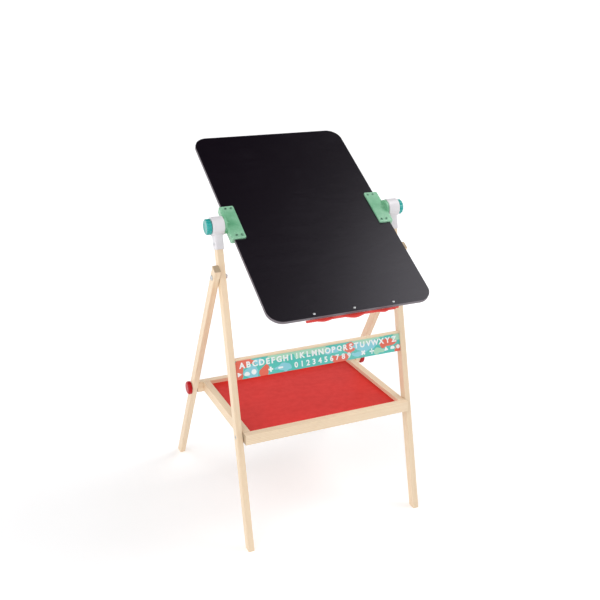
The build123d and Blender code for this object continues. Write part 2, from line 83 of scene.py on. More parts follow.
BOARD_T = 8.0 * MM
CLAMP_HALF_T = 8.0 * MM
CLAMP_SCREW_X = (193.0 * MM, 180.0 * MM)
CLAMP_SCREW_UP = 43.0 * MM
LEDGE_SCREW_X = 97.0 * MM
LEDGE_SCREW_UP = -291.5 * MM


# ---------------------------------------------------------------- shader nodes
# how far the bevelled normal turns away where an edge mask starts and where it is full
EDGE_START = 0.02
EDGE_FULL = 0.25


class Surface:
    """One procedural material, with short names for its nodes."""

    def __init__(self, name):
        self.material = bpy.data.materials.new(name)
        self.material.use_nodes = True
        self.tree = self.material.node_tree
        self.shader = next(n for n in self.tree.nodes if n.type == "BSDF_PRINCIPLED")
        self.coordinates = self.node("ShaderNodeTexCoord")

    def node(self, kind, **settings):
        made = self.tree.nodes.new(kind)
        for key, value in settings.items():
            setattr(made, key, value)
        return made

    def put(self, socket, value):
        """Links value into socket if it is another node's output, or sets it."""
        if isinstance(value, bpy.types.NodeSocket):
            self.tree.links.new(value, socket)
        else:
            socket.default_value = value

    def set(self, **values):
        for key, value in values.items():
            self.put(self.shader.inputs[key.replace("_", " ")], value)

    def math(self, operation, *values):
        made = self.node("ShaderNodeMath", operation=operation)
        for socket, value in zip(made.inputs, values):
            self.put(socket, value)
        return made.outputs[0]

    def vector(self, operation, *values):
        made = self.node("ShaderNodeVectorMath", operation=operation)
        for socket, value in zip(made.inputs, values):
            self.put(socket, value)
        return made.outputs["Value" if operation in ("LENGTH", "DOT_PRODUCT") else "Vector"]

    def along(self, direction, vector=None):
        """The object coordinate along a direction."""
        return self.vector("DOT_PRODUCT", vector or self.coordinates.outputs["Object"], tuple(direction))

    def noise(self, scale, detail=3.0, roughness=0.5, vector=None, stretch=None, distortion=0.0):
        vector = vector or self.coordinates.outputs["Object"]
        if stretch:
            vector = self.vector("MULTIPLY", vector, stretch)
        made = self.node("ShaderNodeTexNoise")
        self.put(made.inputs["Vector"], vector)
        made.inputs["Scale"].default_value = scale
        made.inputs["Detail"].default_value = detail
        made.inputs["Roughness"].default_value = roughness
        made.inputs["Distortion"].default_value = distortion
        return made.outputs["Fac"]

    def ramp(self, factor, *stops):
        """A grey level that follows (place, level) stops."""
        made = self.node("ShaderNodeValToRGB")
        elements = made.color_ramp.elements
        while len(elements) < len(stops):
            elements.new(1.0)
        for element, (place, level) in zip(elements, stops):
            element.position = place
            element.color = (level, level, level, 1.0)
        self.put(made.inputs["Fac"], factor)
        return made.outputs["Color"]

    def range(self, value, low, high, to_low=0.0, to_high=1.0):
        made = self.node("ShaderNodeMapRange", clamp=True)
        for socket, number in zip(made.inputs, (value, low, high, to_low, to_high)):
            self.put(socket, number)
        return made.outputs["Result"]

    def mix(self, factor, a, b, blend="MIX"):
        made = self.node("ShaderNodeMix", data_type="RGBA", blend_type=blend)
        self.put(made.inputs["Factor"], factor)
        colours = [s for s in made.inputs if s.type == "RGBA"]
        for socket, value in zip(colours, (a, b)):
            self.put(socket, (*value, 1.0) if isinstance(value, tuple) and len(value) == 3 else value)
        return next(s for s in made.outputs if s.type == "RGBA")

    def bump(self, height, distance, strength=1.0):
        made = self.node("ShaderNodeBump")
        made.inputs["Distance"].default_value = distance
        made.inputs["Strength"].default_value = strength
        self.put(made.inputs["Height"], height)
        self.put(self.shader.inputs["Normal"], made.outputs["Normal"])

    def edges(self, radius):
        """1 along rounded and sharp edges, 0 on open faces."""
        made = self.node("ShaderNodeBevel", samples=4)
        made.inputs["Radius"].default_value = radius
        flat = self.node("ShaderNodeNewGeometry").outputs["Normal"]
        match = self.vector("DOT_PRODUCT", made.outputs["Normal"], flat)
        return self.range(self.math("SUBTRACT", 1.0, match), EDGE_START, EDGE_FULL)


# ---------------------------------------------------------------- materials
PINE_LIGHT = (0.89, 0.735, 0.540)
PINE_DARK = (0.75, 0.54, 0.345)
PINE_END = (0.50, 0.39, 0.27)


def pine(name, grain, centre, seed):
    """Lacquered pine sawn along grain: rings round an off-centre heart, fibres, flecks, darker ends."""
    dice = random.Random(seed)
    s = Surface(name)
    across = X if abs(grain.x) < 0.5 else Y
    other = grain.cross(across).normalized()
    across = other.cross(grain).normalized()
    turn = Matrix((across, other, grain))
    angle = dice.uniform(0, math.tau)
    reach = dice.uniform(22, 60) * MM
    heart = Vector((math.cos(angle) * reach, math.sin(angle) * reach, dice.uniform(-1, 1)))
    mapping = s.node("ShaderNodeMapping", vector_type="POINT")
    mapping.inputs["Rotation"].default_value = turn.to_euler("XYZ")
    mapping.inputs["Location"].default_value = heart - turn @ centre
    s.put(mapping.inputs["Vector"], s.coordinates.outputs["Object"])
    place = mapping.outputs["Vector"]

    wander = s.noise(14.0, 2.0, vector=place, stretch=(1.0, 1.0, 0.16))
    radius = s.vector("LENGTH", s.vector("MULTIPLY", place, (1.0, 1.0, 0.0)))
    radius = s.math("ADD", radius, s.math("MULTIPLY", wander, 9.0 * MM))
    spacing = dice.uniform(1.9, 2.9) * MM
    rings = s.math("FRACT", s.math("DIVIDE", radius, spacing))
    late = s.ramp(rings, (0.0, 0.10), (0.45, 0.0), (0.86, 1.0), (0.95, 0.75), (1.0, 0.10))
    fibres = s.noise(1500.0, 4.0, 0.6, vector=place, stretch=(1.0, 1.0, 0.018))
    streaks = s.noise(160.0, 3.0, vector=place, stretch=(1.0, 1.0, 0.02))
    flecks = s.range(s.noise(900.0, 1.0, vector=place, stretch=(1.0, 1.0, 0.05)), 0.70, 0.76)
    clouds = s.noise(7.0, 2.0, vector=place, stretch=(1.0, 1.0, 0.4))

    tone = dice.uniform(-0.05, 0.05)
    light = tuple(c * (1 + tone) for c in PINE_LIGHT)
    dark = tuple(c * (1 + tone) for c in PINE_DARK)
    amount = s.math("MULTIPLY", late, s.range(clouds, 0.3, 0.7, 0.16, 0.62))
    colour = s.mix(amount, light, dark)
    colour = s.mix(s.range(streaks, 0.35, 0.7, 0.0, 0.30), colour, (0.77, 0.56, 0.35))
    colour = s.mix(s.range(fibres, 0.3, 0.75, 0.0, 0.16), colour, (0.66, 0.45, 0.27), "MULTIPLY")
    colour = s.mix(s.math("MULTIPLY", flecks, 0.35), colour, (0.52, 0.33, 0.17))

    facing = s.math("ABSOLUTE", s.along(grain, s.coordinates.outputs["Normal"]))
    end = s.range(facing, 0.72, 0.9)
    end_colour = s.mix(s.math("MULTIPLY", late, 0.55), PINE_END, (0.50, 0.34, 0.20))
    colour = s.mix(end, colour, end_colour)
    # Paler colour along the edges is partly lacquer rubbed thin there and partly a painted highlight; the
    # lower roughness there is the rubbed polish.
    edge = s.edges(1.4 * MM)
    colour = s.mix(s.math("MULTIPLY", edge, 0.22), colour, (0.90, 0.75, 0.56))
    s.set(Base_Color=colour, Specular_IOR_Level=0.4, Coat_Weight=0.12, Coat_Roughness=0.35)
    rough = s.math("ADD", s.range(fibres, 0.3, 0.7, 0.42, 0.54), s.math("MULTIPLY", end, 0.2))
    s.set(Roughness=s.math("SUBTRACT", rough, s.math("MULTIPLY", edge, 0.08)))
    height = s.math("ADD", s.math("MULTIPLY", fibres, 0.6), s.math("MULTIPLY", late, 0.35))
    s.bump(height, 0.12 * MM, 0.55)
    return s.material


def panel_paint(name, colour, deep, grain_scale=55.0, raw_below=False):
    """Opaque paint on board: roller mottle, a few fine scuffs and, with raw_below, a bare underside."""
    s = Surface(name)
    mottle = s.noise(grain_scale, 4.0, 0.6)
    patches = s.noise(7.0, 2.0)
    peel = s.noise(700.0, 2.0)
    scuffs = s.range(s.noise(260.0, 3.0, 0.7, stretch=(0.25, 1.0, 1.0), distortion=0.6), 0.66, 0.72)
    base = s.mix(s.range(mottle, 0.35, 0.68), colour, deep)
    base = s.mix(s.range(patches, 0.35, 0.7, 0.0, 0.35), base, tuple(min(1.0, c * 1.25) for c in colour))
    base = s.mix(s.math("MULTIPLY", scuffs, 0.06), base, (0.80, 0.16, 0.12))
    # Paler paint along the edges is a painted highlight.
    edge = s.edges(1.0 * MM)
    base = s.mix(s.math("MULTIPLY", edge, 0.25), base, tuple(min(1.0, c * 1.5) for c in colour))
    if raw_below:
        fibres = s.noise(240.0, 5.0, 0.7, distortion=0.5)
        bare = s.mix(s.range(fibres, 0.35, 0.65), (0.60, 0.43, 0.40), (0.50, 0.34, 0.31))
        base = s.mix(s.range(s.along(-Z, s.coordinates.outputs["Normal"]), 0.5, 0.8), base, bare)
    s.set(Base_Color=base, Roughness=s.range(s.math("ADD", mottle, scuffs), 0.3, 1.2, 0.40, 0.56))
    s.set(Specular_IOR_Level=0.22)
    s.bump(s.math("ADD", s.math("MULTIPLY", peel, 0.6), s.math("MULTIPLY", mottle, 0.4)), 0.08 * MM, 0.5)
    return s.material


def moulded(name, colour, light, rough=0.28, coat=0.0, edge_highlight_share=0.35):
    """Injection-moulded plastic: faint flow clouds, fine texture, and a painted highlight that makes it
    paler along its edges.
    """
    s = Surface(name)
    clouds = s.noise(38.0, 3.0)
    fine = s.noise(1300.0, 2.0)
    marks = s.range(s.noise(420.0, 2.0, 0.7, distortion=1.2), 0.64, 0.70)
    base = s.mix(s.range(clouds, 0.3, 0.7, 0.0, 0.5), colour, light)
    # Paler colour along the edges is a painted highlight, stronger where the given share is larger.
    edge = s.edges(1.2 * MM)
    base = s.mix(s.math("MULTIPLY", edge, edge_highlight_share), base, light)
    s.set(Base_Color=base, Coat_Weight=coat, Coat_Roughness=0.12)
    grain_rough = s.range(fine, 0.3, 0.7, rough - 0.04, rough + 0.05)
    s.set(Roughness=s.math("ADD", grain_rough, s.math("MULTIPLY", marks, 0.08)))
    s.bump(s.math("ADD", fine, s.math("MULTIPLY", clouds, 0.5)), 0.03 * MM, 0.5)
    return s


def clamp_plastic():
    """Milky green plastic that lets some light through, with painted shade keeping it deeper green near
    the pivot hub and paler further out along the board.
    """
    s = moulded("clamp_green_plastic", (0.18, 0.54, 0.30), (0.46, 0.86, 0.58), 0.24, 0.15, 1.0)
    from_pivot = s.vector("SUBTRACT", s.coordinates.outputs["Object"], tuple(PIVOT))
    along_board = s.math("ABSOLUTE", s.along(UP_BOARD, from_pivot))
    inner = s.shader.inputs["Base Color"].links[0].from_socket
    # Painted shade: within 20 mm of the pivot hub the plate keeps its deeper green, and further out it
    # turns paler.
    s.set(Base_Color=s.mix(s.range(along_board, 20 * MM, 50 * MM, 0.0, 0.6), inner, (0.46, 0.82, 0.58)))
    s.set(Transmission_Weight=0.28, IOR=1.46)
    return s.material


def metal(name, colour):
    """Plated or turned metal, with soft blotches and fine turning lines."""
    s = Surface(name)
    blotch = s.noise(240.0, 3.0)
    lines = s.noise(2600.0, 2.0, stretch=(1.0, 0.2, 0.2))
    base = s.mix(s.range(blotch, 0.35, 0.7, 0.0, 0.4), colour, tuple(c * 0.72 for c in colour))
    s.set(Base_Color=base, Metallic=1.0)
    s.set(Roughness=s.range(s.math("ADD", blotch, lines), 0.6, 1.4, 0.22, 0.42))
    s.bump(s.math("MULTIPLY", lines, 0.2), 0.03 * MM, 0.6)
    return s.material


def chalkboard():
    """Black writing enamel: near matte, with a fine tooth and the faintest wiped haze."""
    s = Surface("chalk_black_enamel")
    tooth = s.noise(2400.0, 2.0)
    haze = s.noise(5.0, 3.0, 0.5, distortion=0.5)
    wipes = s.noise(45.0, 3.0, stretch=(0.3, 1.0, 1.0))
    dust = s.math("MULTIPLY", s.range(haze, 0.42, 0.72), s.range(wipes, 0.35, 0.7))
    base = s.mix(s.math("MULTIPLY", dust, 0.045), (0.0036, 0.0014, 0.0042), (0.050, 0.045, 0.062))
    dulling = s.math("ADD", tooth, s.math("MULTIPLY", dust, 0.3))
    s.set(Base_Color=base, Roughness=s.range(dulling, 0.4, 1.1, 0.27, 0.35))
    s.set(Specular_IOR_Level=0.33, Specular_Tint=(0.92, 0.90, 1.0, 1.0))
    s.bump(tooth, 0.02 * MM, 0.5)
    return s.material


def whiteboard():
    """White gloss enamel with soft wipe marks that only show in its sheen."""
    s = Surface("board_white_enamel")
    wipes = s.noise(30.0, 4.0, stretch=(0.15, 1.0, 1.0), distortion=0.5)
    ghost = s.range(s.noise(9.0, 3.0), 0.5, 0.75, 0.0, 0.18)
    s.set(Base_Color=s.mix(ghost, (0.84, 0.84, 0.85), (0.74, 0.76, 0.80)))
    s.set(Coat_Weight=0.4, Coat_Roughness=0.08)
    s.set(Roughness=s.range(wipes, 0.3, 0.7, 0.16, 0.30))
    s.bump(s.noise(500.0, 1.0), 0.01 * MM, 0.4)
    return s.material


def board_edge():
    """Grey sealed fibreboard: flat fibres and small chips at the corners."""
    s = Surface("board_edge_sealed")
    fibre = s.noise(900.0, 4.0, 0.65)
    layers = s.noise(1400.0, 2.0, stretch=(0.05, 1.0, 1.0))
    chips = s.math("MULTIPLY", s.edges(0.8 * MM), s.range(s.noise(300.0, 3.0), 0.5, 0.62))
    base = s.mix(s.range(fibre, 0.3, 0.7), (0.135, 0.115, 0.130), (0.19, 0.165, 0.185))
    base = s.mix(s.math("MULTIPLY", chips, 0.4), base, (0.30, 0.25, 0.22))
    s.set(Base_Color=base, Roughness=s.range(layers, 0.3, 0.7, 0.5, 0.7))
    s.bump(s.math("ADD", fibre, layers), 0.06 * MM, 0.6)
    return s.material


TEAL = (0.045, 0.50, 0.43)
MINT = (0.34, 0.66, 0.48)
SKY = (0.21, 0.58, 0.67)
CORAL = (0.74, 0.105, 0.05)
# the print's patches: middle along the strip and up it, half sizes (mm), colour; later ones on top
PATCHES = (
    (-194, 16, 28, 10, CORAL),
    (-214, -4, 12, 24, CORAL),
    (-164, 15, 9, 9, SKY),
    (-183, -9, 20, 11, SKY),
    (-149, -13, 11, 13, CORAL),
    (-100, -9, 24, 8, SKY),
    (-95, 20, 45, 7, MINT),
    (-28, 18, 58, 9, MINT),
    (28, 10, 20, 9, SKY),
    (44, -14, 24, 11, CORAL),
    (76, 8, 16, 14, CORAL),
    (122, 8, 34, 12, SKY),
    (130, 20, 46, 6, MINT),
    (98, -13, 18, 9, SKY),
    (162, -11, 20, 9, MINT),
    (188, 6, 26, 9, CORAL),
    (210, 17, 13, 8, MINT),
    (215, -12, 9, 10, CORAL),
)


def printed_strip():
    """Printed film: teal with wavy patches of mint, sky blue and coral, a fine screen and soft gloss."""
    s = Surface("strip_print_film")
    centre = middle("alphabet_strip")
    raw = s.coordinates.outputs["Object"]
    wave = s.node("ShaderNodeTexNoise")
    wave.inputs["Scale"].default_value = 42.0
    wave.inputs["Detail"].default_value = 1.0
    s.put(wave.inputs["Vector"], raw)
    shift = s.vector("SCALE", s.vector("SUBTRACT", wave.outputs["Color"], (0.5, 0.5, 0.5)))
    shift.node.inputs["Scale"].default_value = 26.0 * MM
    place = s.vector("SUBTRACT", s.vector("ADD", raw, shift), tuple(centre))
    x = s.along(X, place)
    up = s.along(UP_LEG, place)
    colour = TEAL
    for at_x, at_up, half_x, half_up, ink in PATCHES:
        dx = s.math("DIVIDE", s.math("SUBTRACT", x, at_x * MM), half_x * MM)
        dy = s.math("DIVIDE", s.math("SUBTRACT", up, at_up * MM), half_up * MM)
        inside = s.math("ADD", s.math("MULTIPLY", dx, dx), s.math("MULTIPLY", dy, dy))
        colour = s.mix(s.math("LESS_THAN", inside, 1.0), colour, ink)
    dots = s.noise(3000.0, 1.0)
    colour = s.mix(s.range(dots, 0.4, 0.65, 0.0, 0.07), colour, (0.95, 0.95, 0.95))
    colour = s.mix(s.range(s.noise(12.0, 2.0), 0.35, 0.7, 0.0, 0.09), colour, (0.80, 0.93, 0.90))
    s.set(Base_Color=colour, Roughness=s.range(dots, 0.3, 0.7, 0.34, 0.44), Specular_IOR_Level=0.35)
    s.bump(dots, 0.01 * MM, 0.4)
    return s.material


def white_ink():
    """The strip's raised white lettering."""
    s = Surface("strip_print_white_ink")
    grain = s.noise(1800.0, 2.0)
    s.set(Base_Color=s.mix(s.range(grain, 0.3, 0.7), (0.88, 0.90, 0.89), (0.80, 0.84, 0.83)))
    s.set(Roughness=s.range(grain, 0.3, 0.7, 0.38, 0.5))
    s.bump(grain, 0.01 * MM, 0.4)
    return s.material


def floor_paper():
    """Pale seamless sheet that glows a little as painted light, more so away from the easel."""
    s = Surface("floor_paper")
    grain = s.noise(60.0, 3.0)
    away = s.vector("LENGTH", s.coordinates.outputs["Object"])
    s.set(Base_Color=s.mix(s.range(grain, 0.3, 0.7), (0.925, 0.925, 0.93), (0.935, 0.935, 0.94)))
    s.set(Roughness=0.9, Specular_IOR_Level=0.1, Emission_Color=(0.99, 0.99, 1.0, 1.0))
    # Painted light: the floor's own glow, weaker near the easel and stronger away from it.
    s.set(Emission_Strength=s.range(away, 0.7, 2.2, 0.23, 0.44))
    return s.material


def paint_nodes(material, *names):
    """Gives CAD nodes their material, in the material slots they came with."""
    for name in names:
        slots = NODES[name].material_slots
        if not slots:
            NODES[name].data.materials.append(material)
        for held in slots:
            held.material = material


# ---------------------------------------------------------------- mesh making
def add_object(name, mesh, material, smooth_angle=35):
    piece = bpy.data.objects.new(name, mesh)
    bpy.context.scene.collection.objects.link(piece)
    mesh.materials.clear()
    mesh.materials.append(material)
    mesh.shade_smooth()
    mesh.set_sharp_from_angle(angle=math.radians(smooth_angle))
    return piece


def turned(profile, segments=48, radius_of=None):
    """A solid of revolution round +Z from (radius, height) points that start and end on the axis."""
    made = bmesh.new()
    rings = []
    for radius, height in profile:
        if radius < 1e-7:
            rings.append([made.verts.new((0, 0, height))])
            continue
        ring = []
        for i in range(segments):
            angle = math.tau * i / segments
            r = radius_of(radius, height, angle) if radius_of else radius
            ring.append(made.verts.new((r * math.cos(angle), r * math.sin(angle), height)))
        rings.append(ring)
    for low, high in zip(rings, rings[1:]):
        for i in range(segments):
            j = (i + 1) % segments
            corners = [low[i % len(low)], low[j % len(low)], high[j % len(high)], high[i % len(high)]]
            unique = list(dict.fromkeys(corners))
            if len(unique) > 2:
                made.faces.new(unique)
    bmesh.ops.recalc_face_normals(made, faces=made.faces)
    return made


def placed(made, origin, axis, turn=0.0):
    """Moves a bmesh made round +Z to origin, with its +Z along axis."""
    aim = axis.to_track_quat("Z", "Y").to_matrix().to_4x4()
    made.transform(Matrix.Translation(origin) @ aim @ Matrix.Rotation(turn, 4, "Z"))
    return made


def joined(parts, name):
    """One mesh of several bmeshes, which are freed."""
    whole = bmesh.new()
    for part in parts:
        piece = bpy.data.meshes.new("part")
        part.to_mesh(piece)
        part.free()
        whole.from_mesh(piece)
        bpy.data.meshes.remove(piece)
    mesh = bpy.data.meshes.new(name)
    whole.to_mesh(mesh)
    whole.free()
    return mesh


def cross_cutter(reach, width, low, high):
    """A plus-shaped prism round the z axis, to cut a cross recess."""
    made = flat_shape(cross_outline(reach / 2, width / 2))
    stretch = Matrix.Diagonal((1.0, 1.0, (high - low) / INK_T, 1.0))
    made.transform(Matrix.Translation((0, 0, low)) @ stretch)
    return made


def cut(body, cutters):
    """body with each cutter taken out of it, as a bmesh."""
    scene = bpy.context.scene.collection
    shells = []
    for source in (body, *cutters):
        mesh = bpy.data.meshes.new("shell")
        source.to_mesh(mesh)
        source.free()
        shell = bpy.data.objects.new("shell", mesh)
        scene.objects.link(shell)
        shells.append(shell)
    for cutter in shells[1:]:
        step = shells[0].modifiers.new("cut", "BOOLEAN")
        step.operation, step.solver, step.object = "DIFFERENCE", "EXACT", cutter
    bpy.context.view_layer.update()
    graph = bpy.context.evaluated_depsgraph_get()
    result = bpy.data.meshes.new_from_object(shells[0].evaluated_get(graph))
    made = bmesh.new()
    made.from_mesh(result)
    for shell in shells:
        mesh = shell.data
        bpy.data.objects.remove(shell)
        bpy.data.meshes.remove(mesh)
    bpy.data.meshes.remove(result)
    return made


def arc(centre, radius, start, end, steps):
    """(radius, height) points along an arc, angles in degrees."""
    points = []
    for i in range(steps + 1):
        a = math.radians(start + (end - start) * i / steps)
        points.append((centre[0] + radius * math.cos(a), centre[1] + radius * math.sin(a)))
    return points


# ---------------------------------------------------------------- fasteners
def thread_profile(radius, start, end, pitch=0.7 * MM, depth=0.16 * MM):
    """Ridged outline of a threaded length, from start up to end."""
    count = max(1, int((end - start) / pitch))
    points = []
    for i in range(count):
        low = start + (end - start) * i / count
        points.append((radius - depth, low))
        points.append((radius, low + (end - start) / count / 2))
    points.append((radius - depth, end))
    return points


def pan_screw(head_r, head_t, shank_r, length, thread_from=0.0):
    """Pan-head screw with a cross recess. Its head sits on z = 0 and its shank runs down."""
    profile = [(0, -length), (shank_r * 0.7, -length)]
    profile += thread_profile(shank_r, -length + 0.3 * MM, -thread_from - 0.2 * MM)
    profile += [(shank_r, -thread_from), (shank_r, 0), (head_r - 0.1 * MM, 0)]
    profile += [(head_r, 0.15 * MM), (head_r, head_t * 0.45)]
    for a in (0.35, 0.7, 1.0, 1.25, 1.42):
        profile.append((head_r * math.cos(a), head_t * (0.45 + 0.55 * math.sin(a))))
    profile += [(0, head_t)]
    body = turned(profile, 32)
    slot = head_r * 0.34
    reach = head_r * 1.15
    return cut(body, [cross_cutter(reach, slot, head_t * 0.4, head_t * 1.5)])


def steel_piece(name, parts, body, replaced, material):
    """One piece of several fasteners, in the place of a CAD node."""
    piece = add_object(name, joined(parts, name), material)
    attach(piece, body)
    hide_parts(replaced)


def screw_set(name, spots, axis, sizes, body, replaced, material, seed):
    """Copies of one pan screw at several spots, each turned its own way."""
    dice = random.Random(seed)
    parts = []
    for spot, out in zip(spots, axis):
        parts.append(placed(pan_screw(*sizes), spot, out, dice.uniform(0, math.pi)))
    steel_piece(name, parts, body, replaced, material)


def button_bolt(head_r, head_t, shank_r, length):
    """Domed bolt with a hexagon socket. Head on z = 0, shank down."""
    profile = [(0, -length), (shank_r * 0.75, -length)]
    profile += thread_profile(shank_r, -length + 0.5 * MM, -length * 0.45, 1.0 * MM, 0.25 * MM)
    profile += [(shank_r, -length * 0.42), (shank_r, 0), (head_r - 0.2 * MM, 0), (head_r, 0.25 * MM)]
    for a in (0.2, 0.45, 0.7, 0.95, 1.15):
        profile.append((head_r * math.cos(a), 0.25 * MM + (head_t - 0.25 * MM) * math.sin(a)))
    profile += [(head_r * 0.3, head_t), (0, head_t)]
    body = turned(profile, 48)
    socket_r = shank_r * 0.66
    socket_bottom = head_t * 0.35
    socket_top = head_t * 2
    outline = [(0, socket_bottom), (socket_r, socket_bottom), (socket_r, socket_top), (0, socket_top)]
    return cut(body, [turned(outline, 6)])


def sunk_bolt(head_r, head_t, shank_r, length):
    """Countersunk bolt with a cross recess. Its flat top is at z = 0, and it runs down."""
    profile = [(0, -length), (shank_r * 0.75, -length)]
    profile += thread_profile(shank_r, -length + 0.5 * MM, -length * 0.5, 1.0 * MM, 0.25 * MM)
    profile += [(shank_r, -length * 0.48), (shank_r, -head_t), (head_r - 0.1 * MM, -0.25 * MM)]
    profile += [(head_r, -0.1 * MM), (head_r - 0.15 * MM, 0), (0, 0)]
    body = turned(profile, 48)
    slot = head_r * 0.26
    return cut(body, [cross_cutter(head_r * 1.1, slot, -1.5 * MM, 1.5 * MM)])


# ---------------------------------------------------------------- the printed strip
def strip_face():
    """Middle of the strip's front face."""
    low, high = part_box("alphabet_strip")
    deep, tall = high.y - low.y, high.z - low.z
    sine, cosine = math.sin(LEAN), math.cos(LEAN)
    thick = (deep * cosine - tall * sine) / (cosine**2 - sine**2)
    return (low + high) / 2 + OFF_LEG * thick / 2


INK_T = 0.12 * MM
LETTER_H = 14.6 * MM
DIGIT_H = 14.0 * MM
ROW_UP = 10.4 * MM
LETTERS = "ABCDEFGHIJKLMNOPQRSTUVWXYZ"
LETTER_SPAN = (-210.0 * MM, 210.0 * MM)
DIGITS = "0123456789"
DIGIT_SPAN = (-71.5 * MM, 79.5 * MM)
LETTER_BOLD = 0.040
DIGIT_BOLD = 0.032
# the least and greatest width, as shares of the height, that spacing allows a character
LEAST_WIDTH = 0.62
GREATEST_WIDTH = 0.95


def glyph(character, height, boldness):
    """One bold capital or digit, centred on the origin in XY, height tall, INK_T thick."""
    curve = bpy.data.curves.new("glyph", "FONT")
    curve.body = character
    curve.size = 1.0
    curve.offset = boldness
    curve.extrude = 0.05
    curve.resolution_u = 4
    holder = bpy.data.objects.new("glyph", curve)
    bpy.context.scene.collection.objects.link(holder)
    bpy.context.view_layer.update()
    graph = bpy.context.evaluated_depsgraph_get()
    mesh = bpy.data.meshes.new_from_object(holder.evaluated_get(graph))
    bpy.data.objects.remove(holder)
    bpy.data.curves.remove(curve)
    made = bmesh.new()
    made.from_mesh(mesh)
    bpy.data.meshes.remove(mesh)
    xs = [v.co.x for v in made.verts]
    ys = [v.co.y for v in made.verts]
    zs = [v.co.z for v in made.verts]
    scale = height / (max(ys) - min(ys))
    centre = Vector(((max(xs) + min(xs)) / 2, (max(ys) + min(ys)) / 2, min(zs)))
    flat = INK_T / (max(zs) - min(zs))
    made.transform(Matrix.Diagonal((scale, scale, flat, 1.0)) @ Matrix.Translation(-centre))
    bmesh.ops.remove_doubles(made, verts=made.verts, dist=0.02 * MM)
    return made


def flat_shape(points):
    """A closed outline in XY as a thin plate standing on z = 0."""
    made = bmesh.new()
    base = made.faces.new([made.verts.new((x, y, 0)) for x, y in points])
    up = bmesh.ops.extrude_face_region(made, geom=[base])["geom"]
    moved = [v for v in up if isinstance(v, bmesh.types.BMVert)]
    bmesh.ops.translate(made, verts=moved, vec=(0, 0, INK_T))
    bmesh.ops.recalc_face_normals(made, faces=made.faces)
    return made


def rounded_outline(corners, radius, steps=5):
    """A convex outline with its corners rounded."""
    points = []
    count = len(corners)
    for i in range(count):
        here, before, after = (Vector(corners[k % count]) for k in (i, i - 1, i + 1))
        a = (before - here).normalized()
        b = (after - here).normalized()
        half = math.acos(max(-1.0, min(1.0, a.dot(b)))) / 2
        centre = here + (a + b).normalized() * radius / math.sin(half)
        start = here + a * radius / math.tan(half) - centre
        end = here + b * radius / math.tan(half) - centre
        sweep = start.angle_signed(end)
        for k in range(steps + 1):
            points.append(tuple(centre + Matrix.Rotation(-sweep * k / steps, 2) @ start))
    return points


def on_circle(radius, angle):
    return (radius * math.cos(angle), radius * math.sin(angle))


def circle_outline(radius, steps=28):
    return [on_circle(radius, math.tau * i / steps) for i in range(steps)]


def dome_outline(radius, steps=18):
    """A half round with soft lower corners."""
    top = [on_circle(radius, math.pi * i / steps) for i in range(steps + 1)]
    corners = [(-radius * 0.8, -radius * 0.62), (radius * 0.8, -radius * 0.62)]
    return [(x, y - radius * 0.3) for x, y in top] + corners


def triangle_outline(half):
    corners = [(-half, -half * 0.8), (half, -half * 0.8), (0, half)]
    return rounded_outline(corners, half * 0.18)


def bar_outline(half_long, half_short):
    x, y = half_long, half_short
    return rounded_outline([(-x, -y), (x, -y), (x, y), (-x, y)], y * 0.8)


def cross_outline(half, half_width):
    quarter = [(half, -half_width), (half, half_width), (half_width, half_width)]
    points = []
    for turn in range(4):
        for x, y in quarter:
            for _ in range(turn):
                x, y = -y, x
            points.append((x, y))
    return points


def letters(material):
    """All the strip's white print: the alphabet, the digits, four signs and six small shapes."""
    face = strip_face()
    up = UP_LEG
    lay = Matrix((X, up, OFF_LEG)).transposed().to_4x4()

    def lie(made, x, height, turn=0.0):
        spot = face + X * x + up * height
        made.transform(Matrix.Translation(spot) @ lay @ Matrix.Rotation(turn, 4, "Z"))
        return made

    parts = []
    for text, span, height, row, boldness in (
        (LETTERS, LETTER_SPAN, LETTER_H, ROW_UP, LETTER_BOLD),
        (DIGITS, DIGIT_SPAN, DIGIT_H, -ROW_UP, DIGIT_BOLD),
    ):
        made = [glyph(character, height, boldness) for character in text]
        widths = [2 * max(v.co.x for v in shape.verts) for shape in made]
        widths = [min(max(width, LEAST_WIDTH * height), GREATEST_WIDTH * height) for width in widths]
        gap = (span[1] - span[0] - sum(widths)) / (len(text) - 1)
        left = span[0]
        for shape, width in zip(made, widths):
            parts.append(lie(shape, left + width / 2, row))
            left += width + gap
    low = -ROW_UP
    shapes = (
        (triangle_outline(6.0 * MM), -211.0, low, -math.pi / 2),
        (dome_outline(7.0 * MM), -192.5, low - 1.0 * MM, 0.0),
        (circle_outline(6.4 * MM), -175.0, low + 1.0 * MM, 0.0),
        (cross_outline(6.2 * MM, 2.1 * MM), -132.5, low, 0.0),
        (bar_outline(6.4 * MM, 2.1 * MM), -107.0, low, 0.0),
        (cross_outline(6.4 * MM, 2.1 * MM), 114.5, low, math.pi / 4),
        (bar_outline(6.4 * MM, 1.8 * MM), 138.5, low, 0.0),
        (circle_outline(1.9 * MM, 16), 138.5, low + 4.8 * MM, 0.0),
        (circle_outline(1.9 * MM, 16), 138.5, low - 4.8 * MM, 0.0),
        (triangle_outline(6.0 * MM), 179.0, low, 0.15),
        (dome_outline(6.2 * MM), 197.5, low, 0.0),
        (circle_outline(5.2 * MM), 213.5, low, 0.0),
    )
    for outline, x, height, turn in shapes:
        parts.append(lie(flat_shape(outline), x * MM, height, turn))
    piece = add_object("strip_lettering", joined(parts, "strip_lettering"), material)
    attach(piece, "front_frame")


# ---------------------------------------------------------------- knobs
TEAL_RIBS = 14


